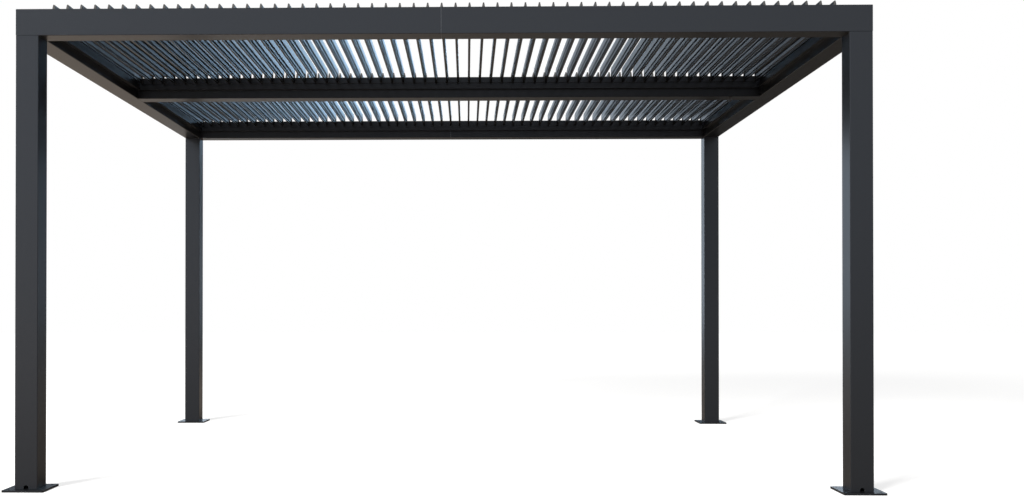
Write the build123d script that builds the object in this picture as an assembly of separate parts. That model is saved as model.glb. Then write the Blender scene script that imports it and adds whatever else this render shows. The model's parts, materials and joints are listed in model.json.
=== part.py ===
from build123d import *
import os

# Louvered pergola: four posts, a ring of hollow beams with a middle beam, and two fields of louvres.
# Millimetres. The origin is on the ground at the centre of the footprint.
# +X is to the right, -Y is the front and +Z is up.

# Overall size, to the outer faces of the posts
WIDTH = 4000.0
DEPTH = 3110.0
HEIGHT = 2264.0

# Posts: square tube with bevelled edges
POST_SIDE = 107.0
POST_WALL = 2.5
POST_BEVEL = 2.5

# Drain notch: a round-headed outlet at the foot of each post
NOTCH_WIDTH = 24.0
NOTCH_STRAIGHT = 5.0

# Base plates and the sockets that stand up inside the posts
PLATE_SIDE = 196.0
PLATE_THICKNESS = 10.0
PLATE_BEVEL = 4.0
ANCHOR_SPACING = 150.0
ANCHOR_HOLE_R = 6.0
SOCKET_HEIGHT = 120.0
SOCKET_WALL = 4.0
SOCKET_GAP = 0.3

# Beams: hollow boxes as wide as the posts
BEAM_HEIGHT = 125.0
BEAM_WALL = 2.2
BEAM_BEVEL = 2.0
MID_SPAN_SEAM = 1.0
SPLICE_LENGTH = 320.0
SPLICE_WALL = 3.0
SPLICE_GAP = 0.3

# Rain gutter: a small channel round the inside of each field, below the louvres
GUTTER_REACH = 22.0
GUTTER_HEIGHT = 22.0
GUTTER_WALL = 2.0
GUTTER_UNDERSIDE_DROP = 75.0

# Louvre rails: flat strips on the beams that carry the louvre pins
RAIL_THICKNESS = 2.0
RAIL_HEIGHT = 36.0
RAIL_TOP_DROP = 1.0

# Louvres: extruded blades that stand upright, open, on pins at both ends
LOUVRE_PITCH = 66.6
LOUVRE_FROM_SIDE_BEAM = 27.0
LOUVRE_PIVOT_DROP = 10.0
LOUVRE_END_GAP = 4.0
PIN_SIDE = 6.0

# Louvre blade section: heights from the pivot and half thicknesses
BLADE_ABOVE_PIVOT = 62.0
BLADE_BELOW_PIVOT = 25.0
BLADE_TOP_HALF = 2.6
BLADE_BODY_HALF = 6.2
BLADE_TAPER_HEIGHT = 18.0
BEAD_HEIGHT = 9.0
GROOVE_DEPTH = 3.5
GROOVE_LOWER_FLANK = 8.0
GROOVE_UPPER_FLANK = 20.0

# Drive bars: flat bars that link the louvres of a field
BAR_THICKNESS = 3.5
BAR_HEIGHT = 16.0
BAR_DROP_BELOW_PIVOT = 17.0

# Crank drive near the right end of the middle beam
CRANK_FROM_RIGHT = 282.0
CRANK_FROM_BEAM_FACE = 14.0
CRANK_SHAFT_R = 4.0
CRANK_SHAFT_CLEARANCE = 0.05
CRANK_SHAFT_DEPTH = 24.0
CRANK_SHAFT_END_GAP = 0.3
CRANK_STEM = 9.0
EYE_OUTER_R = 11.0
EYE_BAR = 5.0
GEARBOX_WIDTH = 46.0
GEARBOX_DEPTH = 22.0
GEARBOX_HEIGHT = 52.0
COLLAR_R = 8.0
COLLAR_GAP = 0.3
COLLAR_FLANGE_R = 11.0
COLLAR_FLANGE_THICKNESS = 2.5

# Places that follow from the sizes
HALF_WIDTH = WIDTH / 2
HALF_DEPTH = DEPTH / 2
BEAM_WIDTH = POST_SIDE
BEAM_UNDERSIDE = HEIGHT - BEAM_HEIGHT
BEAM_CENTRE_Z = HEIGHT - BEAM_HEIGHT / 2
FIELD_WIDTH = WIDTH - 2 * BEAM_WIDTH
FIELD_DEPTH = (DEPTH - 3 * BEAM_WIDTH) / 2
FIELD_CENTRE_Y = (BEAM_WIDTH + FIELD_DEPTH) / 2
LOUVRE_PIVOT_Z = HEIGHT - LOUVRE_PIVOT_DROP
LOUVRE_LENGTH = FIELD_DEPTH - 2 * RAIL_THICKNESS - 2 * LOUVRE_END_GAP
LOUVRE_RUN = FIELD_WIDTH - 2 * LOUVRE_FROM_SIDE_BEAM
LOUVRES_PER_FIELD = 1 + int(LOUVRE_RUN / LOUVRE_PITCH)
LOUVRES_PER_THIRD = LOUVRES_PER_FIELD // 3
POST_X = HALF_WIDTH - POST_SIDE / 2
POST_Y = HALF_DEPTH - POST_SIDE / 2
SIDES = {"left": -1, "right": 1}
ENDS = {"front": -1, "back": 1}


def bevelled(width, height, bevel):
    """Rectangle with its four corners cut off at 45 degrees."""
    return chamfer(Rectangle(width, height).vertices(), bevel)


def hollow_box(width, height, wall, bevel):
    """Section of a hollow extrusion, bevelled outside and square inside."""
    return bevelled(width, height, bevel) - Rectangle(width - 2 * wall, height - 2 * wall)


def along_x(section, start, end):
    """Extrude a section drawn with its x along Y and its y along Z, from one X to another."""
    return extrude(Plane.YZ.offset(start) * section, end - start)


def keep_side(solid, point, direction):
    """Cut a solid at a plane through a point and keep what lies in the given direction."""
    return split(solid, bisect_by=Plane(origin=point, z_dir=direction), keep=Keep.TOP)


def drain_notch(outward):
    """Round-headed cutter through the outer wall of a post, standing at the origin."""
    outline = Pos(0, NOTCH_STRAIGHT / 2) * Rectangle(NOTCH_WIDTH, NOTCH_STRAIGHT)
    outline += Pos(0, NOTCH_STRAIGHT) * Circle(NOTCH_WIDTH / 2)
    outline &= Pos(0, NOTCH_WIDTH / 2) * Rectangle(NOTCH_WIDTH, NOTCH_WIDTH)
    return Pos(0, outward * POST_SIDE / 2, 0) * extrude(Plane.XZ * outline, POST_WALL, both=True)


def post(side, end):
    """Square tube from the base plate to the underside of the beams, with its drain notch."""
    length = BEAM_UNDERSIDE - PLATE_THICKNESS
    tube = extrude(hollow_box(POST_SIDE, POST_SIDE, POST_WALL, POST_BEVEL), length)
    tube -= drain_notch(end)
    return Pos(side * POST_X, end * POST_Y, PLATE_THICKNESS) * tube


def base_plate(side, end):
    """Ground plate with four anchor holes."""
    outline = bevelled(PLATE_SIDE, PLATE_SIDE, PLATE_BEVEL)
    outline -= GridLocations(ANCHOR_SPACING, ANCHOR_SPACING, 2, 2) * Circle(ANCHOR_HOLE_R)
    return Pos(side * POST_X, end * POST_Y, 0) * extrude(outline, PLATE_THICKNESS)


def post_socket(side, end):
    """Short square tube that stands on a base plate, inside the foot of a post."""
    outer = POST_SIDE - 2 * POST_WALL - 2 * SOCKET_GAP
    section = Rectangle(outer, outer) - Rectangle(outer - 2 * SOCKET_WALL, outer - 2 * SOCKET_WALL)
    tube = extrude(section, SOCKET_HEIGHT)
    notch_height = NOTCH_STRAIGHT + NOTCH_WIDTH / 2
    notch_depth = 2 * (SOCKET_WALL + SOCKET_GAP)
    tube -= Pos(0, end * outer / 2, notch_height / 2) * Box(NOTCH_WIDTH, notch_depth, notch_height)
    return Pos(side * POST_X, end * POST_Y, PLATE_THICKNESS) * tube


def beam_section():
    """Section of every beam."""
    return hollow_box(BEAM_WIDTH, BEAM_HEIGHT, BEAM_WALL, BEAM_BEVEL)


def half_beam(side, end):
    """Half of the front or back beam, from the seam at mid-span to the mitre over the post."""
    centre_y = -HALF_DEPTH + BEAM_WIDTH / 2
    solid = along_x(Pos(centre_y, BEAM_CENTRE_Z) * beam_section(), -HALF_WIDTH, -MID_SPAN_SEAM / 2)
    solid = keep_side(solid, (-HALF_WIDTH, -HALF_DEPTH, 0), (1, -1, 0))
    if side > 0:
        solid = mirror(solid, about=Plane.YZ)
    if end > 0:
        solid = mirror(solid, about=Plane.XZ)
    return solid


def side_beam(side):
    """Beam from front to back, mitred at both ends."""
    solid = extrude(Plane.XZ.offset(-HALF_DEPTH) * beam_section(), DEPTH)
    solid = Pos(-HALF_WIDTH + BEAM_WIDTH / 2, 0, BEAM_CENTRE_Z) * solid
    solid = keep_side(solid, (-HALF_WIDTH, -HALF_DEPTH, 0), (-1, 1, 0))
    solid = keep_side(solid, (-HALF_WIDTH, HALF_DEPTH, 0), (-1, -1, 0))
    if side > 0:
        solid = mirror(solid, about=Plane.YZ)
    return solid


def crank_place():
    """X and Y of the crank's shaft."""
    return HALF_WIDTH - CRANK_FROM_RIGHT, -BEAM_WIDTH / 2 + CRANK_FROM_BEAM_FACE


def middle_beam():
    """Beam from the left to the right side beam, with the hole for the crank's collar."""
    solid = along_x(Pos(0, BEAM_CENTRE_Z) * beam_section(), -FIELD_WIDTH / 2, FIELD_WIDTH / 2)
    hole = Cylinder(COLLAR_R + COLLAR_GAP, 4 * BEAM_WALL)
    return solid - Pos(*crank_place(), BEAM_UNDERSIDE) * hole


def beam_splice(end):
    """Sleeve inside the front or back beam that joins its two halves."""
    width = BEAM_WIDTH - 2 * BEAM_WALL - 2 * SPLICE_GAP
    height = BEAM_HEIGHT - 2 * BEAM_WALL - 2 * SPLICE_GAP
    section = Rectangle(width, height) - Rectangle(width - 2 * SPLICE_WALL, height - 2 * SPLICE_WALL)
    place = Pos(end * (HALF_DEPTH - BEAM_WIDTH / 2), BEAM_CENTRE_Z)
    return along_x(place * section, -SPLICE_LENGTH / 2, SPLICE_LENGTH / 2)


def gutter_run(run):
    """Channel with mitred ends along X, its back wall at Y = 0 and its lip towards +Y."""
    hollow = Rectangle(GUTTER_REACH - 2 * GUTTER_WALL, GUTTER_HEIGHT)
    section = Rectangle(GUTTER_REACH, GUTTER_HEIGHT) - Pos(0, GUTTER_WALL) * hollow
    centre_z = HEIGHT - GUTTER_UNDERSIDE_DROP + GUTTER_HEIGHT / 2
    solid = along_x(Pos(GUTTER_REACH / 2, centre_z) * section, -run / 2, run / 2)
    solid = keep_side(solid, (-run / 2, 0, 0), (1, -1, 0))
    return keep_side(solid, (run / 2, 0, 0), (-1, -1, 0))


def gutter(field, edge):
    """Gutter channel on one of the four edges of a field."""
    run, turn, x, y = {
        "front": (FIELD_WIDTH, 0, 0, -FIELD_DEPTH / 2),
        "right": (FIELD_DEPTH, 90, FIELD_WIDTH / 2, 0),
        "back": (FIELD_WIDTH, 180, 0, FIELD_DEPTH / 2),
        "left": (FIELD_DEPTH, -90, -FIELD_WIDTH / 2, 0),
    }[edge]
    return Pos(x, field * FIELD_CENTRE_Y + y, 0) * Rot(0, 0, turn) * gutter_run(run)


def louvre_rail(field, end):
    """Flat strip on the beam face that takes the pins at one end of a field's louvres."""
    strip = Box(FIELD_WIDTH, RAIL_THICKNESS, RAIL_HEIGHT)
    y = field * FIELD_CENTRE_Y + end * (FIELD_DEPTH / 2 - RAIL_THICKNESS / 2)
    return Pos(0, y, HEIGHT - RAIL_TOP_DROP - RAIL_HEIGHT / 2) * strip


def blade_section():
    """Upright louvre section about its pivot: bead, groove, flat web and tapered top, alike on both faces."""
    bead_high = BEAD_HEIGHT - BLADE_BELOW_PIVOT
    groove_floor = bead_high + GROOVE_LOWER_FLANK
    right_face = [
        (BLADE_BODY_HALF, -BLADE_BELOW_PIVOT),
        (BLADE_BODY_HALF, bead_high),
        (BLADE_BODY_HALF - GROOVE_DEPTH, groove_floor),
        (BLADE_BODY_HALF, groove_floor + GROOVE_UPPER_FLANK),
        (BLADE_BODY_HALF, BLADE_ABOVE_PIVOT - BLADE_TAPER_HEIGHT),
        (BLADE_TOP_HALF, BLADE_ABOVE_PIVOT),
    ]
    left_face = [(-x, z) for x, z in reversed(right_face)]
    return make_face(Polyline(*right_face, *left_face, close=True))


def louvre():
    """One blade along Y with a pin on each end, centred on its pivot."""
    blade = extrude(Plane.XZ * blade_section(), LOUVRE_LENGTH / 2, both=True)
    pin = Box(PIN_SIDE, LOUVRE_LENGTH + 2 * LOUVRE_END_GAP, PIN_SIDE)
    return blade + pin


def louvre_group(blade, field, first, last):
    """A run of neighbouring louvres of one field, as separate solids."""
    blades = []
    for index in range(first, last):
        x = (index - (LOUVRES_PER_FIELD - 1) / 2) * LOUVRE_PITCH
        blades.append(Pos(x, field * FIELD_CENTRE_Y, LOUVRE_PIVOT_Z) * blade)
    return Compound([solid for part in blades for solid in part.solids()])


def drive_bar(field):
    """Flat bar against the louvre ends beside the middle beam."""
    span = (LOUVRES_PER_FIELD - 1) * LOUVRE_PITCH + 2 * BLADE_BODY_HALF
    bar = Box(span, BAR_THICKNESS, BAR_HEIGHT)
    y = field * (FIELD_CENTRE_Y - LOUVRE_LENGTH / 2 - BAR_THICKNESS / 2)
    return Pos(0, y, LOUVRE_PIVOT_Z - BAR_DROP_BELOW_PIVOT) * bar


def crank_gearbox():
    """Housing inside the middle beam, with a collar through its underside and a bore for the shaft."""
    floor = BEAM_WALL
    housing = Pos(0, 0, floor + GEARBOX_HEIGHT / 2) * Box(GEARBOX_WIDTH, GEARBOX_DEPTH, GEARBOX_HEIGHT)
    collar = Pos(0, 0, floor / 2) * Cylinder(COLLAR_R, floor)
    flange = Pos(0, 0, -COLLAR_FLANGE_THICKNESS / 2) * Cylinder(COLLAR_FLANGE_R, COLLAR_FLANGE_THICKNESS)
    bore_length = CRANK_SHAFT_DEPTH + COLLAR_FLANGE_THICKNESS + floor
    bore = Pos(0, 0, CRANK_SHAFT_DEPTH + floor - bore_length / 2)
    bore *= Cylinder(CRANK_SHAFT_R + CRANK_SHAFT_CLEARANCE, bore_length)
    return Pos(*crank_place(), BEAM_UNDERSIDE) * (housing + collar + flange - bore)


def crank_eye():
    """Shaft with the ring that a crank handle hooks into."""
    top = BEAM_WALL + CRANK_SHAFT_DEPTH - CRANK_SHAFT_END_GAP
    shaft = Pos(0, 0, (top - CRANK_STEM) / 2) * Cylinder(CRANK_SHAFT_R, top + CRANK_STEM)
    outline = Circle(EYE_OUTER_R) - Circle(EYE_OUTER_R - EYE_BAR)
    ring = extrude(Plane.XZ * outline, EYE_BAR / 2, both=True)
    ring = Pos(0, 0, -CRANK_STEM - EYE_OUTER_R + EYE_BAR / 2) * ring
    return Pos(*crank_place(), BEAM_UNDERSIDE) * (shaft + ring)


def write(name, shape):
    """Write one node."""
    export_step(shape, "parts/" + name + ".step")


def solids_of(shapes):
    """One compound of the solids of several shapes."""
    return Compound([solid for shape in shapes for solid in shape.solids()])


os.makedirs("parts", exist_ok=True)

for end_name, end in ENDS.items():
    for side_name, side in SIDES.items():
        write("post_" + end_name + "_" + side_name, post(side, end))
        write("base_plate_" + end_name + "_" + side_name, base_plate(side, end))
        write(end_name + "_beam_" + side_name, half_beam(side, end))

write("post_sockets", solids_of([post_socket(side, end) for side in SIDES.values() for end in ENDS.values()]))
write("beam_splices", solids_of([beam_splice(end) for end in ENDS.values()]))
write("side_beam_left", side_beam(-1))
write("side_beam_right", side_beam(1))
write("middle_beam", middle_beam())

blade = louvre()
GROUPS = {
    "left": (0, LOUVRES_PER_THIRD),
    "centre": (LOUVRES_PER_THIRD, LOUVRES_PER_FIELD - LOUVRES_PER_THIRD),
    "right": (LOUVRES_PER_FIELD - LOUVRES_PER_THIRD, LOUVRES_PER_FIELD),
}
for field_name, field in ENDS.items():
    for edge in ("front", "back", "left", "right"):
        write("gutter_" + field_name + "_field_" + edge, gutter(field, edge))
    for end_name, end in ENDS.items():
        write("louvre_rail_" + field_name + "_field_" + end_name, louvre_rail(field, end))
    for group_name, (first, last) in GROUPS.items():
        write("louvres_" + field_name + "_" + group_name, louvre_group(blade, field, first, last))
    write("drive_bar_" + field_name + "_field", drive_bar(field))

write("crank_gearbox", crank_gearbox())
write("crank_eye", crank_eye())
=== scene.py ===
import json
import math

import bpy
import numpy as np
from bpy.props import FloatProperty, FloatVectorProperty, PointerProperty
from bpy.types import Operator, Panel, PropertyGroup
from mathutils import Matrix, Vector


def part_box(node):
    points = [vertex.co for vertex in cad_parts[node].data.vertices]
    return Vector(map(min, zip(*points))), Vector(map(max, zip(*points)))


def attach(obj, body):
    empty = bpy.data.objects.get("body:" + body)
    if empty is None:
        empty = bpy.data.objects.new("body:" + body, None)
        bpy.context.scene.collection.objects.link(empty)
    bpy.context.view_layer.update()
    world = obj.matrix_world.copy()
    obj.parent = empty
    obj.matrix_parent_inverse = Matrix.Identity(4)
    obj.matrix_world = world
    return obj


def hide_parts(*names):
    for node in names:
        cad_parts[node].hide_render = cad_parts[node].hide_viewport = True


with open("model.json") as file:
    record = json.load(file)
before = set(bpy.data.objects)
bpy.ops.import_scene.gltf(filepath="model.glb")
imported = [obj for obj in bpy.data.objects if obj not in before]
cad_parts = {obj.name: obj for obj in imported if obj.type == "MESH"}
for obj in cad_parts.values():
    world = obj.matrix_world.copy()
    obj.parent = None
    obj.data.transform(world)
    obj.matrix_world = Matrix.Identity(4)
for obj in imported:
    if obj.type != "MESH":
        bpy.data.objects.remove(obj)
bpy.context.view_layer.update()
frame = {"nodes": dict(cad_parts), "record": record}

# Louvered pergola: coated tubes and beams, louvre blades with their end caps, and the crank eye.
# Metres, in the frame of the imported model: +X to the right, -Y to the front, +Z up, ground at Z = 0.

bl_info = {
    "name": "Louvered Pergola",
    "version": (1, 0, 0),
    "blender": (4, 5, 0),
    "location": "3D Viewport > Sidebar > Pergola",
    "description": "Finishes, louvre blades, crank eye and soft stage of a louvered pergola",
    "category": "Add Mesh",
}

MM = 0.001

FIELDS = ("front", "back")
THIRDS = ("left", "centre", "right")
LOUVRES_PER_THIRD = 19
PIVOT_BELOW_RAIL_TOP = 9.0 * MM   # as in the solids
NECK_FLARE = 0.2 * MM             # how much wider the neck is half way up to its narrowest height
BEAD_SHOULDER = 0.78              # where the bead reaches its full width, as a share of its top's height
GROOVE_LIP = 0.2                  # height of the groove's lower flank, as a share of the groove
CAP_CORNER = 1.5 * MM             # rounding of a cap's outline
CAP_BEVEL = 0.2                   # depth of a cap's outer bevel, as a share of its thickness
CAP_SHRINK = 0.05                 # how much the bevel draws the outline in, as a share of its size
COLLAR_CHAMFER = 0.4 * MM
EYE_WIRE = 2.5 * MM               # half the thickness of the crank ring's wire
EYE_SHAFT = 4.0 * MM              # radius of the collar on the crank's shaft

EDGE_GLINT = 0.6 * MM             # radius over which a plain edge catches the light
FOOT_DUST = 160.0 * MM            # height up to which dust lies on a foot
BLACK = (0.0, 0.0, 0.0, 1.0)
WHITE = (1.0, 1.0, 1.0, 1.0)
SLOTS = ("frame_coating", "louvre_coating", "gutter_coating", "plate_coating", "mill_aluminium",
         "dark_steel", "black_plastic")

FILM_WIDTH = 36.0                 # millimetres, as a camera's film is named
FLOOR_REACH = 30.0                # from the middle of the floor to each of its edges


# Sizes and colours that a user would change

class PergolaCoatings(PropertyGroup):
    """Colours and gloss of the coated and bare surfaces."""

    frame_colour: FloatVectorProperty(
        name="Frame Colour", description="Powder coat of the posts and beams",
        subtype="COLOR", size=3, min=0, max=1, default=(0.040, 0.0445, 0.0490))
    louvre_colour: FloatVectorProperty(
        name="Louvre Colour", description="Powder coat of the louvre blades",
        subtype="COLOR", size=3, min=0, max=1, default=(0.030, 0.034, 0.039))
    plate_colour: FloatVectorProperty(
        name="Plate Colour", description="Coat of the base plates",
        subtype="COLOR", size=3, min=0, max=1, default=(0.036, 0.040, 0.046))
    dust_colour: FloatVectorProperty(
        name="Dust Colour", description="Fine dust on the upper faces and round the feet",
        subtype="COLOR", size=3, min=0, max=1, default=(0.26, 0.23, 0.19))
    bare_colour: FloatVectorProperty(
        name="Bare Aluminium", description="Anodised inner sleeves",
        subtype="COLOR", size=3, min=0, max=1, default=(0.45, 0.46, 0.48))
    grain: FloatProperty(
        name="Grain", description="Width of one grain of the powder coat",
        unit="LENGTH", subtype="DISTANCE", min=0.0001, default=0.0007)
    peel: FloatProperty(
        name="Peel", description="Width of one wave of the coat's orange peel",
        unit="LENGTH", subtype="DISTANCE", min=0.001, default=0.006)


class PergolaBlades(PropertyGroup):
    """Section of a louvre blade and its ends."""

    body_half: FloatProperty(
        name="Body Half", description="Half thickness of the web and the bead",
        unit="LENGTH", subtype="DISTANCE", default=6.2 * MM)
    top_half: FloatProperty(
        name="Top Half", description="Half thickness at the top edge",
        unit="LENGTH", subtype="DISTANCE", default=2.6 * MM)
    taper: FloatProperty(
        name="Taper", description="Height over which the top of the blade narrows",
        unit="LENGTH", subtype="DISTANCE", default=18.0 * MM)
    foot_half: FloatProperty(
        name="Foot Half", description="Half thickness of the foot along the bottom edge",
        unit="LENGTH", subtype="DISTANCE", default=5.3 * MM)
    foot: FloatProperty(
        name="Foot", description="Height of the foot",
        unit="LENGTH", subtype="DISTANCE", default=4.5 * MM)
    neck_half: FloatProperty(
        name="Neck Half", description="Half thickness of the neck over the foot",
        unit="LENGTH", subtype="DISTANCE", default=2.4 * MM)
    neck: FloatProperty(
        name="Neck", description="Height of the neck's top over the bottom edge",
        unit="LENGTH", subtype="DISTANCE", default=11.0 * MM)
    bead: FloatProperty(
        name="Bead", description="Height of the bead's top over the bottom edge",
        unit="LENGTH", subtype="DISTANCE", default=21.0 * MM)
    groove: FloatProperty(
        name="Groove", description="Height of the groove over the bead",
        unit="LENGTH", subtype="DISTANCE", default=16.0 * MM)
    groove_depth: FloatProperty(
        name="Groove Depth", description="Depth of the groove in both faces",
        unit="LENGTH", subtype="DISTANCE", default=4.0 * MM)
    flank: FloatProperty(
        name="Flank", description="Height over which the groove runs out into the web",
        unit="LENGTH", subtype="DISTANCE", default=9.0 * MM)
    edge_radius: FloatProperty(
        name="Edge Radius", description="Rounding of the section's corners",
        unit="LENGTH", subtype="DISTANCE", default=0.6 * MM)
    cap: FloatProperty(
        name="Cap", description="Thickness of the moulded cap on each end",
        unit="LENGTH", subtype="DISTANCE", default=3.0 * MM)
    cap_rim: FloatProperty(
        name="Cap Rim", description="How far a cap stands proud of the web",
        unit="LENGTH", subtype="DISTANCE", default=0.5 * MM)
    end_gap: FloatProperty(
        name="End Gap", description="From the cap to the rail",
        unit="LENGTH", subtype="DISTANCE", default=4.0 * MM)
    pin_radius: FloatProperty(
        name="Pin Radius", description="Radius of the pivot pin on each cap",
        unit="LENGTH", subtype="DISTANCE", default=3.0 * MM)
    bush_radius: FloatProperty(
        name="Bush Radius", description="Radius of the collar round each pin, against the rail",
        unit="LENGTH", subtype="DISTANCE", default=5.5 * MM)


class PergolaStage(PropertyGroup):
    """Camera, lamps and surroundings."""

    lens: FloatProperty(
        name="Lens", description="Focal length in millimetres on a 36 mm wide film",
        min=1.0, default=37.21)
    eye_place: FloatVectorProperty(
        name="Camera Place", description="Where the camera stands",
        subtype="TRANSLATION", unit="LENGTH", size=3, default=(0.1194, -6.4828, 0.8559))
    eye_tilt: FloatProperty(
        name="Camera Tilt", description="Upward tilt from level",
        unit="ROTATION", subtype="ANGLE", default=0.00658)
    eye_turn: FloatProperty(
        name="Camera Turn", description="Turn to the left from straight ahead",
        unit="ROTATION", subtype="ANGLE", default=0.01902)
    film_shift: FloatVectorProperty(
        name="Film Shift", description="Shift of the picture as shares of its width",
        size=2, default=(0.0639, 0.0513))
    floor_colour: FloatVectorProperty(
        name="Floor Colour", description="Pale warm paving under the object",
        subtype="COLOR", size=3, min=0, max=1, default=(0.56, 0.47, 0.39))
    # Painted shade: share of the floor colour kept under and before the object, for the roof's shadow.
    painted_shade_level: FloatProperty(
        name="Near Level", description="Share of the floor colour under and before the object",
        min=0.0, default=0.30)
    sky_colour: FloatVectorProperty(
        name="Sky Colour", description="Pale sky that the coats reflect",
        subtype="COLOR", size=3, min=0, max=1, default=(0.75, 0.87, 1.0))
    blue_colour: FloatVectorProperty(
        name="Blue Colour", description="Clear sky at the back right in the gloss",
        subtype="COLOR", size=3, min=0, max=1, default=(0.46, 0.72, 1.0))
    panel_level: FloatProperty(
        name="Panel Level", description="Brightness of the pale panels in the gloss",
        min=0.0, default=2.0)
    shade_level: FloatProperty(
        name="Shade Level", description="Brightness of the dark sky between the panels",
        min=0.0, default=0.05)
    haze_level: FloatProperty(
        name="Haze Level", description="Brightness of the haze over the horizon",
        min=0.0, default=0.55)
    front_colour: FloatVectorProperty(
        name="Front Colour", description="Pale grey before the object that the front faces reflect",
        subtype="COLOR", size=3, min=0, max=1, default=(0.95, 0.98, 1.0))
    light_level: FloatProperty(
        name="Light Level", description="Strength of the soft light from all sides",
        min=0.0, default=0.55)
    key_power: FloatProperty(
        name="Key Power", description="Power of the large soft lamp at the front left",
        unit="POWER", min=0.0, default=9000.0)


# Places read from the frame

def node_box(name):
    """Lowest and highest corner of a node as numpy arrays."""
    low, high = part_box(name)
    return np.array(low), np.array(high)


def louvre_groups():
    """Names of the six nodes that hold the louvres."""
    return ["louvres_" + field + "_" + third for field in FIELDS for third in THIRDS]


def louvre_pitch():
    """Distance from one louvre to the next."""
    left_low, _ = node_box("louvres_front_left")
    centre_low, _ = node_box("louvres_front_centre")
    return (centre_low[0] - left_low[0]) / LOUVRES_PER_THIRD


# Numpy surfaces

def rounded_outline(corners, radii, steps):
    """Closed outline of a polygon whose corners are arcs.

    At a corner with the half angle h, the arc's ends lie radius / tan(h) along both sides and its centre
    lies radius / sin(h) along the line that halves the corner. The arc's points turn by equal angles
    about that centre from the one end to the other.
    """
    corners = np.asarray(corners, dtype=float)
    radii = np.broadcast_to(np.asarray(radii, dtype=float), len(corners))[:, None]
    back = np.roll(corners, 1, axis=0) - corners
    ahead = np.roll(corners, -1, axis=0) - corners
    back /= np.linalg.norm(back, axis=1, keepdims=True)
    ahead /= np.linalg.norm(ahead, axis=1, keepdims=True)
    angle = np.arccos(np.clip((back * ahead).sum(axis=1, keepdims=True), -1, 1))
    middle = back + ahead
    middle /= np.linalg.norm(middle, axis=1, keepdims=True)
    centre = corners + middle * radii / np.sin(angle / 2)
    first = corners + back * radii / np.tan(angle / 2) - centre
    last = corners + ahead * radii / np.tan(angle / 2) - centre
    turn = (np.pi - angle)[:, :, None]
    share = np.linspace(0, 1, steps)[None, :, None]
    arc = first[:, None, :] * np.sin((1 - share) * turn) + last[:, None, :] * np.sin(share * turn)
    points = centre[:, None, :] + arc / np.sin(turn)
    return points.reshape(-1, 2)


def tube_faces(rings, points):
    """Quads between neighbouring rings of points, as rows of four vertex numbers."""
    ring = np.arange(rings - 1)[:, None]
    point = np.arange(points)[None, :]
    after = (point + 1) % points
    corners = (ring * points + point, ring * points + after, (ring + 1) * points + after,
               (ring + 1) * points + point)
    return np.stack(np.broadcast_arrays(*corners), axis=-1).reshape(-1, 4)


def carried_profile(outline, stations, shrink):
    """One closed solid: an outline in X and Z, carried along Y.

    Ring s stands at Y = stations[s], rising from the front to the back. Its points are the outline's
    points, anticlockwise seen from the front, drawn towards the outline's middle by the share shrink[s].
    The first and last ring are closed with one face each.
    """
    outline = np.asarray(outline)
    middle = (outline.min(axis=0) + outline.max(axis=0)) / 2
    kept = 1 - np.asarray(shrink)[:, None, None]
    flat = middle + (outline - middle)[None, :, :] * kept
    depth = np.broadcast_to(np.asarray(stations)[:, None], flat.shape[:2])
    vertices = np.stack([flat[:, :, 0], depth, flat[:, :, 1]], axis=-1).reshape(-1, 3)
    rings, points = len(stations), len(outline)
    quads = tube_faces(rings, points)[:, ::-1]
    caps = np.stack([np.arange(points), (rings - 1) * points + np.arange(points)[::-1]])
    return vertices, [quads, caps]


def turned_profile(radius, height, around):
    """Surface of revolution about Z: point (i, j) is radius i at height i, at the angle 2 pi j / around.

    Both ends of the profile are closed with one face each.
    """
    angle = np.linspace(0, 2 * np.pi, around, endpoint=False)[None, :]
    radius = np.asarray(radius)[:, None]
    height = np.asarray(height)[:, None] + 0 * angle
    vertices = np.stack([radius * np.cos(angle), radius * np.sin(angle), height], axis=-1)
    rings = len(radius)
    caps = np.stack([np.arange(around)[::-1], (rings - 1) * around + np.arange(around)])
    return vertices.reshape(-1, 3), [tube_faces(rings, around), caps]


def pointing(surface, end):
    """The same surface with its Z axis laid along +Y (end = 1) or -Y (end = -1).

    A quarter turn about X: Y takes the value of Z and Z that of -Y, both times the end's sign.
    """
    x, y, z = surface[0].T
    return np.stack([x, end * z, -end * y], axis=-1), surface[1]


def ring_surface(ring_radius, wire_radius, around, across):
    """Torus in the XZ plane about the origin.

    Point (i, j) stands at the angle u = 2 pi i / around on the ring and v = 2 pi j / across on the wire:
    X = (R + r cos v) cos u, Y = r sin v, Z = (R + r cos v) sin u.
    """
    u = np.linspace(0, 2 * np.pi, around, endpoint=False)[:, None]
    v = np.linspace(0, 2 * np.pi, across, endpoint=False)[None, :]
    reach = ring_radius + wire_radius * np.cos(v)
    vertices = np.stack(
        [reach * np.cos(u), wire_radius * np.sin(v) + 0 * u, reach * np.sin(u)], axis=-1)
    rings = np.arange(around)[:, None]
    points = np.arange(across)[None, :]
    after_ring = (rings + 1) % around
    after_point = (points + 1) % across
    corners = (rings * across + points, rings * across + after_point,
               after_ring * across + after_point, after_ring * across + points)
    quads = np.stack(np.broadcast_arrays(*corners), axis=-1).reshape(-1, 4)
    return vertices.reshape(-1, 3), [quads]


def copied(surface, offsets):
    """The same surface at several places: vertex (c, i) is vertex i plus offset c."""
    vertices, faces = surface
    offsets = np.asarray(offsets, dtype=float)
    moved = (vertices[None, :, :] + offsets[:, None, :]).reshape(-1, 3)
    step = np.arange(len(offsets))[:, None, None] * len(vertices)
    return moved, [(block[None, :, :] + step).reshape(-1, block.shape[1]) for block in faces]


def joined(*surfaces):
    """Several surfaces as one, with the face numbers moved on."""
    vertices = np.concatenate([surface[0] for surface in surfaces])
    starts = np.cumsum([0] + [len(surface[0]) for surface in surfaces[:-1]])
    faces = [block + start for surface, start in zip(surfaces, starts) for block in surface[1]]
    return vertices, faces


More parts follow.
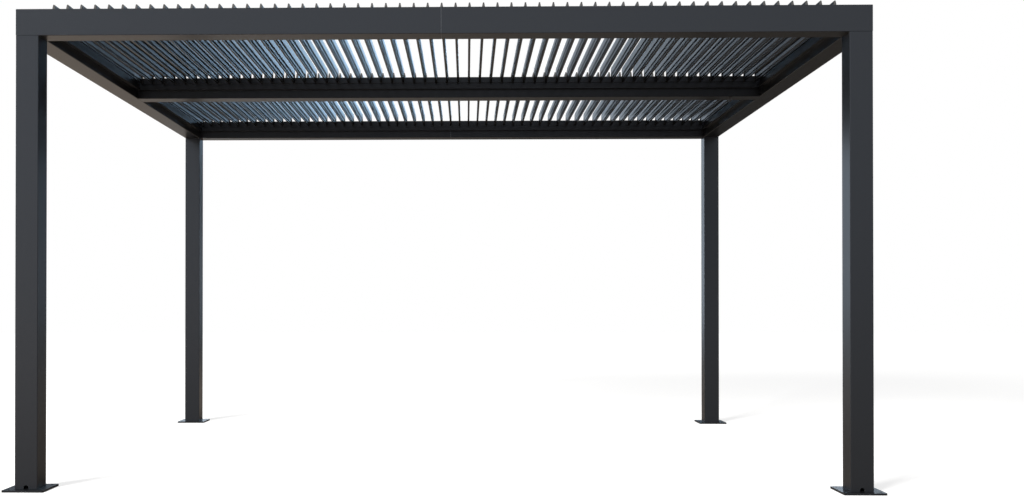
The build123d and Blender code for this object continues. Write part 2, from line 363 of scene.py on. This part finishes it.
def piece(name, surface, material, body, smooth_angle=40.0):
    """Mesh object from a surface, finished with its material, that rides on a body."""
    vertices, blocks = surface
    mesh = bpy.data.meshes.new(name)
    mesh.vertices.add(len(vertices))
    mesh.vertices.foreach_set("co", vertices.ravel())
    sizes = np.concatenate([np.full(len(block), block.shape[1]) for block in blocks])
    corners = np.concatenate([block.ravel() for block in blocks])
    mesh.loops.add(len(corners))
    mesh.loops.foreach_set("vertex_index", corners.astype(np.int32))
    mesh.polygons.add(len(sizes))
    mesh.polygons.foreach_set("loop_start", np.cumsum(sizes) - sizes)
    mesh.polygons.foreach_set("loop_total", sizes)
    mesh.update(calc_edges=True)
    mesh.validate()
    mesh.shade_smooth()
    mesh.set_sharp_from_angle(angle=math.radians(smooth_angle))
    mesh.materials.append(material)
    obj = bpy.data.objects.new(name, mesh)
    bpy.context.scene.collection.objects.link(obj)
    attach(obj, body)
    return obj


# Node trees

class Tree:
    """Adds nodes to a node tree, sets their sockets and links them."""

    def __init__(self, tree):
        self.tree = tree
        self.count = 0

    def feed(self, node, inputs):
        """Gives a node its inputs: a socket is linked, any other value is set on the node."""
        for key, value in inputs.items():
            if isinstance(value, bpy.types.NodeSocket):
                self.tree.links.new(value, node.inputs[key])
            else:
                node.inputs[key].default_value = value

    def add(self, kind, inputs=None, **settings):
        """One node with its settings and inputs."""
        node = self.tree.nodes.new(kind)
        node.location = (180 * self.count, -120 * (self.count % 3))
        self.count += 1
        for name, value in settings.items():
            setattr(node, name, value)
        self.feed(node, inputs or {})
        return node

    def math(self, operation, *values, clamp=False):
        """Output of a Math node."""
        inputs = dict(enumerate(values))
        return self.add("ShaderNodeMath", inputs, operation=operation, use_clamp=clamp).outputs[0]

    def mix(self, factor, first, second):
        """Output of a Mix node that blends two colours."""
        node = self.add("ShaderNodeMix", {0: factor, 6: first, 7: second}, data_type="RGBA")
        return node.outputs[2]

    def ramp(self, value, low, high, to_low=0.0, to_high=1.0):
        """Output of a Map Range node, clamped."""
        inputs = {0: value, 1: low, 2: high, 3: to_low, 4: to_high}
        return self.add("ShaderNodeMapRange", inputs, clamp=True).outputs[0]

    def noise(self, coordinate, scale, detail=2.0):
        """Output of a Noise Texture node."""
        inputs = {"Vector": coordinate, "Scale": scale, "Detail": detail}
        return self.add("ShaderNodeTexNoise", inputs).outputs[0]


def new_group(name, inputs, outputs):
    """Empty shader node group with named inputs and outputs, and its tree, input and output nodes."""
    group = bpy.data.node_groups.new(name, "ShaderNodeTree")
    for label, kind in inputs:
        group.interface.new_socket(label, in_out="INPUT", socket_type=kind)
    for label, kind in outputs:
        group.interface.new_socket(label, in_out="OUTPUT", socket_type=kind)
    tree = Tree(group)
    return group, tree, tree.add("NodeGroupInput"), tree.add("NodeGroupOutput")


def placed(tree, group, inputs):
    """A node group inside a material, with its own values, and its outputs."""
    node = tree.add("ShaderNodeGroup", node_tree=group)
    tree.feed(node, inputs)
    return node.outputs


def coat_grain_group():
    """Powder coat: fine grains on a slow orange peel as a height, and slow clouds as a tone."""
    group, tree, given, result = new_group(
        "Coat Grain",
        [("Coordinate", "NodeSocketVector"), ("Grain", "NodeSocketFloat"), ("Peel", "NodeSocketFloat")],
        [("Height", "NodeSocketFloat"), ("Clouds", "NodeSocketFloat")])
    place = given.outputs["Coordinate"]
    grains = tree.noise(place, tree.math("DIVIDE", 1.0, given.outputs["Grain"]), 1.0)
    waves = tree.noise(place, tree.math("DIVIDE", 1.0, given.outputs["Peel"]), 0.0)
    height = tree.math("MULTIPLY_ADD", grains, 0.35, waves)
    clouds = tree.noise(place, 2.2, 5.0)
    tree.feed(result, {"Height": height, "Clouds": clouds})
    return group


def dust_group():
    """Dust: lies on faces that look up, and fades out up the lowest hand's breadth of a foot."""
    group, tree, given, result = new_group(
        "Dust Film",
        [("Coordinate", "NodeSocketVector"), ("Top", "NodeSocketFloat"), ("Foot", "NodeSocketFloat"),
         ("Foot Height", "NodeSocketFloat")],
        [("Mask", "NodeSocketFloat")])
    normal = tree.add("ShaderNodeNewGeometry").outputs["Normal"]
    up = tree.add("ShaderNodeSeparateXYZ", {0: normal}).outputs[2]
    height = tree.add("ShaderNodeSeparateXYZ", {0: given.outputs["Coordinate"]}).outputs[2]
    on_top = tree.math("MULTIPLY", tree.ramp(up, 0.6, 1.0), given.outputs["Top"])
    rise = tree.math("DIVIDE", height, given.outputs["Foot Height"])
    at_foot = tree.math("MULTIPLY", tree.ramp(rise, 0.0, 1.0, 1.0, 0.0), given.outputs["Foot"])
    patches = tree.noise(given.outputs["Coordinate"], 14.0, 6.0)
    specks = tree.noise(given.outputs["Coordinate"], 260.0, 2.0)
    loose = tree.math("MULTIPLY", tree.ramp(patches, 0.3, 0.75), tree.ramp(specks, 0.3, 0.65, 0.4, 1.0))
    mask = tree.math("MULTIPLY", tree.math("ADD", on_top, at_foot), loose, clamp=True)
    tree.feed(result, {"Mask": mask})
    return group


def edge_group():
    """Edges: a normal that is rounded over each edge, and a mask of where it leaves the flat one."""
    group, tree, given, result = new_group(
        "Rounded Edge",
        [("Radius", "NodeSocketFloat")],
        [("Normal", "NodeSocketVector"), ("Mask", "NodeSocketFloat")])
    rounded = tree.add("ShaderNodeBevel", {"Radius": given.outputs["Radius"]}, samples=4).outputs[0]
    flat = tree.add("ShaderNodeNewGeometry").outputs["Normal"]
    along = tree.add("ShaderNodeVectorMath", {0: rounded, 1: flat}, operation="DOT_PRODUCT")
    mask = tree.ramp(along.outputs["Value"], 0.995, 0.75)
    tree.feed(result, {"Normal": rounded, "Mask": mask})
    return group


def new_material(name):
    """Material with an empty tree, its Principled shader and the object's own coordinates."""
    material = bpy.data.materials.new(name)
    material.use_nodes = True
    material.node_tree.nodes.clear()
    tree = Tree(material.node_tree)
    shader = tree.add("ShaderNodeBsdfPrincipled")
    tree.add("ShaderNodeOutputMaterial", {"Surface": shader.outputs[0]})
    coordinate = tree.add("ShaderNodeTexCoord").outputs["Object"]
    return material, tree, shader, coordinate


def bump(tree, strength, distance, height, corner):
    """Normal of a Bump node over the rounded edges."""
    return tree.add("ShaderNodeBump", {
        "Strength": strength, "Distance": distance, "Height": height,
        "Normal": corner["Normal"]}).outputs[0]


def rgba(colour, level=1.0):
    """Colour property as red, green, blue and alpha."""
    return (*[channel * level for channel in colour], 1.0)


def coated(name, groups, coatings, colour, gloss, coat, dust, edge):
    """Powder coated aluminium.

    gloss holds the roughness where the coat is smoothest and roughest, dust holds the amounts on top and
    at the foot, and edge is the radius over which an edge catches the light.
    """
    material, tree, shader, coordinate = new_material(name)
    grain = placed(tree, groups["grain"], {
        "Coordinate": coordinate, "Grain": coatings.grain, "Peel": coatings.peel})
    film = placed(tree, groups["dust"], {
        "Coordinate": coordinate, "Top": dust[0], "Foot": dust[1], "Foot Height": FOOT_DUST})
    corner = placed(tree, groups["edge"], {"Radius": edge})
    tone = tree.mix(tree.ramp(grain["Clouds"], 0.3, 0.7), rgba(colour, 0.94), rgba(colour, 1.06))
    # Painted highlight: the coat is drawn a little lighter along the rounded edges, where they catch the
    # light.
    painted_edge_highlight = tree.mix(tree.math("MULTIPLY", corner["Mask"], 0.22), tone, rgba(colour, 2.2))
    dusty = tree.mix(film["Mask"], painted_edge_highlight, rgba(coatings.dust_colour))
    rough = tree.ramp(grain["Clouds"], 0.3, 0.7, gloss[0], gloss[1])
    rough = tree.math("MULTIPLY_ADD", film["Mask"], 0.4, rough)
    tree.feed(shader, {
        "Base Color": dusty, "Roughness": rough, "Coat Weight": coat, "Coat Roughness": gloss[0],
        "Normal": bump(tree, 0.12, 0.25 * MM, grain["Height"], corner)})
    return material


def bare_aluminium(name, groups, coatings):
    """Anodised extrusion: fine die lines that run along X over a metal of one tone."""
    material, tree, shader, coordinate = new_material(name)
    stretched = tree.add("ShaderNodeMapping", {"Vector": coordinate, "Scale": (4.0, 900.0, 900.0)})
    lines = tree.noise(stretched.outputs[0], 1.0, 3.0)
    corner = placed(tree, groups["edge"], {"Radius": EDGE_GLINT})
    colour = tree.mix(lines, rgba(coatings.bare_colour, 0.85), rgba(coatings.bare_colour, 1.1))
    tree.feed(shader, {
        "Base Color": colour, "Metallic": 1.0, "Roughness": tree.ramp(lines, 0.3, 0.7, 0.34, 0.46),
        "Normal": bump(tree, 0.15, 0.1 * MM, lines, corner)})
    return material


def blackened_steel(name, groups):
    """Blackened steel: dark, with brown patches and paler edges, a painted highlight."""
    material, tree, shader, coordinate = new_material(name)
    patches = tree.noise(coordinate, 240.0, 4.0)
    corner = placed(tree, groups["edge"], {"Radius": EDGE_GLINT})
    black, brown, painted_edge_glint = (0.020, 0.021, 0.023), (0.036, 0.032, 0.029), (0.12, 0.115, 0.11)
    colour = tree.mix(tree.ramp(patches, 0.35, 0.7), rgba(black), rgba(brown))
    # Painted highlight: the steel is drawn paler along its edges, where they catch the light.
    colour = tree.mix(tree.math("MULTIPLY", corner["Mask"], 0.5), colour, rgba(painted_edge_glint))
    tree.feed(shader, {
        "Base Color": colour, "Metallic": 0.8, "Roughness": tree.ramp(patches, 0.3, 0.7, 0.32, 0.5),
        "Normal": bump(tree, 0.2, 0.1 * MM, patches, corner)})
    return material


def moulded_plastic(name, groups):
    """Black moulded plastic with a fine spark texture."""
    material, tree, shader, coordinate = new_material(name)
    sparks = tree.noise(coordinate, 1800.0, 2.0)
    corner = placed(tree, groups["edge"], {"Radius": EDGE_GLINT})
    colour = tree.mix(sparks, rgba((0.014, 0.014, 0.016)), rgba((0.026, 0.026, 0.028)))
    tree.feed(shader, {
        "Base Color": colour, "Roughness": tree.ramp(sparks, 0.3, 0.7, 0.45, 0.6),
        "Normal": bump(tree, 0.2, 0.1 * MM, sparks, corner)})
    return material


def make_finishes():
    """Makes the material of each slot."""
    coatings = bpy.context.scene.pergola_coatings
    groups = {"grain": coat_grain_group(), "dust": dust_group(), "edge": edge_group()}
    frame_colour = coatings.frame_colour
    louvre_colour = coatings.louvre_colour
    plate_colour = coatings.plate_colour
    coated("frame_coating", groups, coatings, frame_colour, (0.26, 0.36), 0.0, (0.20, 0.06), 2.0 * MM)
    coated("louvre_coating", groups, coatings, louvre_colour, (0.05, 0.08), 0.0, (0.15, 0.0), 0.8 * MM)
    coated("gutter_coating", groups, coatings, frame_colour, (0.32, 0.42), 0.0, (0.30, 0.0), 0.8 * MM)
    coated("plate_coating", groups, coatings, plate_colour, (0.22, 0.34), 0.3, (0.20, 0.20), 1.2 * MM)
    bare_aluminium("mill_aluminium", groups, coatings)
    blackened_steel("dark_steel", groups)
    moulded_plastic("black_plastic", groups)


def finishes():
    """The materials by the record's slot, made at the first call."""
    if SLOTS[0] not in bpy.data.materials:
        make_finishes()
    return {slot: bpy.data.materials[slot] for slot in SLOTS}


# Pieces

def node_slots():
    """Name of each node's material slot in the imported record."""
    return {part["node"]: part["material_slot"] for part in frame["record"]["subparts"]}


def blade_outline(blades, low, high):
    """Section of an upright blade, alike on both faces.

    low and high are the heights of its edges from the pivot, the widths are half thicknesses. From the
    bottom up: a foot, a narrow neck that widens into a bead, a groove with a short lower and a long
    upper flank, the flat web and the tapered top. The corners run anticlockwise from the bottom right
    and are rounded by rounded_outline.
    """
    body, inner = blades.body_half, blades.body_half - blades.groove_depth
    foot_high, neck_high, bead_high = low + blades.foot, low + blades.neck, low + blades.bead
    groove_high = bead_high + blades.groove
    right_face = [
        (blades.foot_half, low), (blades.foot_half, foot_high),
        (blades.neck_half + NECK_FLARE, (foot_high + neck_high) / 2), (blades.neck_half, neck_high),
        (body, low + BEAD_SHOULDER * blades.bead), (body, bead_high),
        (inner, bead_high + GROOVE_LIP * blades.groove), (inner, groove_high),
        (body, groove_high + blades.flank), (body, high - blades.taper), (blades.top_half, high)]
    left_face = [(-x, z) for x, z in reversed(right_face)]
    return rounded_outline(right_face + left_face, blades.edge_radius, 2)


def louvre_places(name):
    """Places of a group's pivots at Y = 0, and the lowest and highest corner of the group's box.

    Pivot i stands i pitches from the first one, and the middle one stands at the middle of the box.
    """
    low, high = node_box(name)
    _, rail_high = node_box("louvre_rail_front_field_front")
    steps = np.arange(LOUVRES_PER_THIRD) - LOUVRES_PER_THIRD // 2
    pivots = np.zeros((LOUVRES_PER_THIRD, 3))
    pivots[:, 0] = (low[0] + high[0]) / 2 + steps * louvre_pitch()
    pivots[:, 2] = rail_high[2] - PIVOT_BELOW_RAIL_TOP
    return pivots, low, high


def blade_surface(blades, name):
    """Blades of one group: the section carried along Y between the two caps."""
    pivots, low, high = louvre_places(name)
    pivot = pivots[0, 2]
    outline = blade_outline(blades, low[2] - pivot, high[2] - pivot)
    inset = blades.end_gap + blades.cap
    return copied(carried_profile(outline, [low[1] + inset, high[1] - inset], [0.0, 0.0]), pivots)


def cap_surface(blades, name):
    """Caps of one group: the section without its grooves, a little proud, its outer edge bevelled."""
    pivots, low, high = louvre_places(name)
    pivot = pivots[0, 2]
    bottom, top = low[2] - pivot, high[2] - pivot
    body, narrow = blades.body_half + blades.cap_rim, blades.top_half + blades.cap_rim
    corners = [(body, bottom), (body, top - blades.taper), (narrow, top),
               (-narrow, top), (-body, top - blades.taper), (-body, bottom)]
    outline = rounded_outline(corners, CAP_CORNER, 3)
    bevel = CAP_BEVEL * blades.cap
    front, back = low[1] + blades.end_gap, high[1] - blades.end_gap
    shrink = [CAP_SHRINK, 0.0, 0.0]
    at_front = carried_profile(outline, [front, front + bevel, front + blades.cap], shrink)
    at_back = carried_profile(outline, [back - blades.cap, back - bevel, back], shrink[::-1])
    return copied(joined(at_front, at_back), pivots)


def pin_surface(blades, name):
    """Pins of one group: a turned collar and pin on each cap, from the cap to the rail."""
    pivots, low, high = louvre_places(name)
    pin, collar, gap = blades.pin_radius, blades.bush_radius, blades.end_gap
    radius = [collar, collar, collar - COLLAR_CHAMFER, pin, pin]
    height = [0.0, 0.5 * gap, 0.6 * gap, 0.6 * gap, gap]
    turned = turned_profile(radius, height, 12)
    at_front = copied(pointing(turned, -1), [[0.0, low[1] + gap, 0.0]])
    at_back = copied(pointing(turned, 1), [[0.0, high[1] - gap, 0.0]])
    return copied(joined(at_front, at_back), pivots)


def eye_surface():
    """Crank eye: a round ring with a turned shaft on top of it.

    From the ring up, the shaft's radius grows to the collar's over 1.5 mm, keeps it for 6.5 mm, and
    falls to four fifths of it over 1 mm.
    """
    low, high = node_box("crank_eye")
    middle = (low + high) / 2
    ring = (high[0] - low[0]) / 2 - EYE_WIRE
    centre = low[2] + ring + EYE_WIRE
    radius = np.array([0.6, 1.0, 1.0, 0.8, 0.8]) * EYE_SHAFT
    height = [ring, ring + 1.5 * MM, ring + 8.0 * MM, ring + 9.0 * MM, high[2] - centre]
    shaft = turned_profile(radius, height, 24)
    eye = joined(ring_surface(ring, EYE_WIRE, 48, 20), shaft)
    return copied(eye, [[middle[0], middle[1], centre]])


class PERGOLA_OT_coat_frame(Operator):
    """Gives every node of the frame the finish of its material slot"""

    bl_idname = "pergola.coat_frame"
    bl_label = "Coat Frame"

    def execute(self, context):
        materials = finishes()
        for name, slot in node_slots().items():
            mesh = frame["nodes"][name].data
            mesh.materials.clear()
            mesh.materials.append(materials[slot])
        return {"FINISHED"}


class PERGOLA_OT_louvre_blades(Operator):
    """Makes the louvre blades of both fields, with rounded grooves"""

    bl_idname = "pergola.louvre_blades"
    bl_label = "Louvre Blades"

    def execute(self, context):
        coat = finishes()["louvre_coating"]
        for name in louvre_groups():
            surface = blade_surface(context.scene.pergola_blades, name)
            ending = name[len("louvres"):]
            obj = piece("blades" + ending, surface, coat, "frame", 8.0)
            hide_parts(name)
        return {"FINISHED"}


class PERGOLA_OT_louvre_caps(Operator):
    """Makes the moulded cap on each end of every blade, with its collar and pin"""

    bl_idname = "pergola.louvre_caps"
    bl_label = "Louvre Caps"

    def execute(self, context):
        plastic = finishes()["black_plastic"]
        blades = context.scene.pergola_blades
        for name in louvre_groups():
            ending = name[len("louvres"):]
            piece("caps" + ending, cap_surface(blades, name), plastic, "frame", 30.0)
            piece("pins" + ending, pin_surface(blades, name), plastic, "frame", 30.0)
        return {"FINISHED"}


class PERGOLA_OT_crank_eye(Operator):
    """Makes the round eye of the crank on its turned shaft"""

    bl_idname = "pergola.crank_eye"
    bl_label = "Crank Eye"

    def execute(self, context):
        steel = finishes()["dark_steel"]
        obj = piece("crank_ring", eye_surface(), steel, "crank", 50.0)
        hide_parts("crank_eye")
        return {"FINISHED"}


class PERGOLA_OT_stage(Operator):
    """Makes the camera, the floor, the soft lamp and the surroundings"""

    bl_idname = "pergola.stage"
    bl_label = "Stage"

    def execute(self, context):
        stage = context.scene.pergola_stage
        make_camera(stage)
        make_floor(stage)
        make_lamp(stage)
        make_surroundings(stage)
        context.scene.view_settings.view_transform = "Standard"
        return {"FINISHED"}


def make_camera(stage):
    """Camera at the photograph's place and angle."""
    camera = bpy.data.cameras.new("pergola_camera")
    camera.sensor_width = FILM_WIDTH
    camera.lens = stage.lens
    camera.shift_x, camera.shift_y = stage.film_shift
    camera.clip_end = 200.0
    obj = bpy.data.objects.new("pergola_camera", camera)
    obj.location = stage.eye_place
    obj.rotation_euler = (math.pi / 2 + stage.eye_tilt, 0.0, stage.eye_turn)
    bpy.context.scene.collection.objects.link(obj)
    bpy.context.scene.camera = obj


def make_floor(stage):
    """Plain pale floor that stays white behind the object and keeps its shadow.

    The camera sees it as white, a little brighter far off, where it meets the white behind it. For the
    object's own light it is warm, with painted shade: darker under and before the object, where the roof
    shades it, and its tone sinks softly towards the back right, where less lamp light falls.
    """
    u, v = np.meshgrid([-FLOOR_REACH, FLOOR_REACH], [-FLOOR_REACH, FLOOR_REACH], indexing="ij")
    vertices = np.stack([u, v, 0 * u], axis=-1).reshape(-1, 3)
    mesh = bpy.data.meshes.new("floor")
    mesh.from_pydata(vertices.tolist(), [], [(0, 2, 3, 1)])
    material = bpy.data.materials.new("floor")
    material.use_nodes = True
    material.node_tree.nodes.clear()
    tree = Tree(material.node_tree)
    path = tree.add("ShaderNodeLightPath")
    place = tree.add("ShaderNodeTexCoord").outputs["Object"]
    x, y, _ = tree.add("ShaderNodeSeparateXYZ", {0: place}).outputs
    # Painted shade: the floor's tone sinks towards the back right, where less lamp light falls.
    shade = tree.ramp(tree.math("MULTIPLY_ADD", y, 0.8, x), 0.0, 11.0)
    tone = tree.mix(shade, rgba(stage.floor_colour, 1.2), rgba(stage.floor_colour, 0.05))
    # Painted shade: under and before the object the floor keeps only a share of its colour, for the
    # roof's shadow.
    tone = tree.mix(tree.ramp(y, 1.0, 6.0), rgba(stage.floor_colour, stage.painted_shade_level), tone)
    paving = tree.add("ShaderNodeBsdfDiffuse", {"Color": tone})
    bright = tree.add("ShaderNodeBsdfDiffuse", {"Color": rgba(WHITE[:3], 0.40)})
    lift = tree.add("ShaderNodeEmission", {
        "Color": WHITE, "Strength": tree.ramp(y, 4.0, 14.0, 0.67, 0.80)})
    white = tree.add("ShaderNodeAddShader", {0: bright.outputs[0], 1: lift.outputs[0]})
    seen = tree.add("ShaderNodeMixShader", {
        0: path.outputs["Is Camera Ray"], 1: paving.outputs[0], 2: white.outputs[0]})
    tree.add("ShaderNodeOutputMaterial", {"Surface": seen.outputs[0]})
    mesh.materials.append(material)
    obj = bpy.data.objects.new("floor", mesh)
    bpy.context.scene.collection.objects.link(obj)


def make_lamp(stage):
    """Large soft lamp at the front left."""
    lamp = bpy.data.lights.new("key_lamp", "AREA")
    lamp.shape = "RECTANGLE"
    lamp.size = 6.0
    lamp.size_y = 4.0
    lamp.energy = stage.key_power
    lamp.color = (1.0, 0.98, 0.95)
    obj = bpy.data.objects.new("key_lamp", lamp)
    obj.location = (-9.0, -13.0, 6.5)
    obj.rotation_euler = (math.radians(72.0), 0.0, math.radians(-35.0))
    obj.visible_camera = False
    obj.visible_glossy = False
    bpy.context.scene.collection.objects.link(obj)


def soft_window(tree, *edges):
    """Product of soft edges. Each is (value, where it is 0, where it is 1)."""
    window = tree.ramp(*edges[0])
    for edge in edges[1:]:
        window = tree.math("MULTIPLY", window, tree.ramp(*edge))
    return window


def sky_behind(tree, stage, sideways, height):
    """Sky behind the object in the gloss of the coats, by a direction's slope sideways and its height.

    It is dark, with haze over the horizon. On it stand, from the left: a low pale panel that fades to
    the far left, a pale cloud over it, a blue panel just right of the middle, and a narrow pale one
    farther out.
    """
    haze = tree.ramp(tree.math("ABSOLUTE", height), 0.14, 0.04, 0.0, stage.haze_level)
    cloud = soft_window(
        tree, (sideways, -0.10, -0.24), (sideways, -0.31, -0.26), (height, 0.34, 0.27))
    edge = soft_window(
        tree, (sideways, 0.29, 0.33), (sideways, 0.39, 0.36), (height, 0.15, 0.18))
    left = soft_window(
        tree, (sideways, -0.10, -0.15), (height, 0.205, 0.185), (sideways, -0.40, -0.22, 0.4, 1.0),
        (height, 0.09, 0.15))
    right = soft_window(
        tree, (sideways, -0.02, 0.03), (sideways, 0.20, 0.10), (height, 0.15, 0.18),
        (height, 0.32, 0.26))
    sky = tree.mix(tree.math("ADD", haze, stage.shade_level), BLACK, rgba(stage.sky_colour))
    sky = tree.mix(cloud, sky, rgba(stage.sky_colour, 1.4 * stage.panel_level))
    sky = tree.mix(edge, sky, rgba(stage.sky_colour, 2.0 * stage.panel_level))
    sky = tree.mix(left, sky, rgba(stage.sky_colour, 1.2 * stage.panel_level))
    return tree.mix(right, sky, rgba(stage.blue_colour, 3.7 * stage.panel_level))


def make_surroundings(stage):
    """White behind the object, an even soft light on it, and a sky with soft panels in its gloss.

    Sideways is X over the size of Y of a direction, so it runs along a wall before or behind the object.
    """
    world = bpy.data.worlds.new("surroundings")
    world.use_nodes = True
    world.node_tree.nodes.clear()
    tree = Tree(world.node_tree)
    path = tree.add("ShaderNodeLightPath").outputs
    direction = tree.add("ShaderNodeTexCoord").outputs["Generated"]
    across, depth, height = tree.add("ShaderNodeSeparateXYZ", {0: direction}).outputs
    sideways = tree.math("DIVIDE", across, tree.math("MAXIMUM", tree.math("ABSOLUTE", depth), 0.001))
    ahead = tree.mix(tree.ramp(sideways, 0.5, -0.5, 0.7, 1.0), BLACK, rgba(stage.front_colour))
    sky = tree.mix(tree.ramp(depth, -0.1, 0.1), ahead, sky_behind(tree, stage, sideways, height))
    shown = tree.mix(path["Is Camera Ray"], sky, WHITE)
    seen = tree.math("ADD", path["Is Camera Ray"], path["Is Glossy Ray"])
    seen = tree.math("ADD", seen, path["Is Transmission Ray"], clamp=True)
    colour = tree.mix(seen, rgba(WHITE[:3], stage.light_level), shown)
    background = tree.add("ShaderNodeBackground", {"Color": colour, "Strength": 1.0})
    tree.add("ShaderNodeOutputWorld", {"Surface": background.outputs[0]})
    bpy.context.scene.world = world


class PERGOLA_PT_panel(Panel):
    """Sizes, colours and steps of the pergola"""

    bl_idname = "PERGOLA_PT_panel"
    bl_label = "Louvered Pergola"
    bl_space_type = "VIEW_3D"
    bl_region_type = "UI"
    bl_category = "Pergola"

    def draw(self, context):
        scene = context.scene
        for group in (scene.pergola_coatings, scene.pergola_blades, scene.pergola_stage):
            box = self.layout.box()
            for key in group.__annotations__:
                box.prop(group, key)
        for operator in OPERATORS:
            self.layout.operator(operator.bl_idname)


OPERATORS = (PERGOLA_OT_coat_frame, PERGOLA_OT_louvre_blades, PERGOLA_OT_louvre_caps,
             PERGOLA_OT_crank_eye, PERGOLA_OT_stage)
CLASSES = (PergolaCoatings, PergolaBlades, PergolaStage, *OPERATORS, PERGOLA_PT_panel)


def register():
    """Registers the classes and hangs the settings on the scene."""
    for cls in CLASSES:
        bpy.utils.register_class(cls)
    bpy.types.Scene.pergola_coatings = PointerProperty(type=PergolaCoatings)
    bpy.types.Scene.pergola_blades = PointerProperty(type=PergolaBlades)
    bpy.types.Scene.pergola_stage = PointerProperty(type=PergolaStage)


def unregister():
    """Takes the settings off the scene and unregisters the classes."""
    del bpy.types.Scene.pergola_stage
    del bpy.types.Scene.pergola_blades
    del bpy.types.Scene.pergola_coatings
    for cls in reversed(CLASSES):
        bpy.utils.unregister_class(cls)


def main():
    """Registers the add-on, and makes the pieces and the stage."""
    register()
    bpy.ops.pergola.coat_frame()
    bpy.ops.pergola.louvre_blades()
    bpy.ops.pergola.louvre_caps()
    bpy.ops.pergola.crank_eye()
    bpy.ops.pergola.stage()


if __name__ == "__main__":
    main()
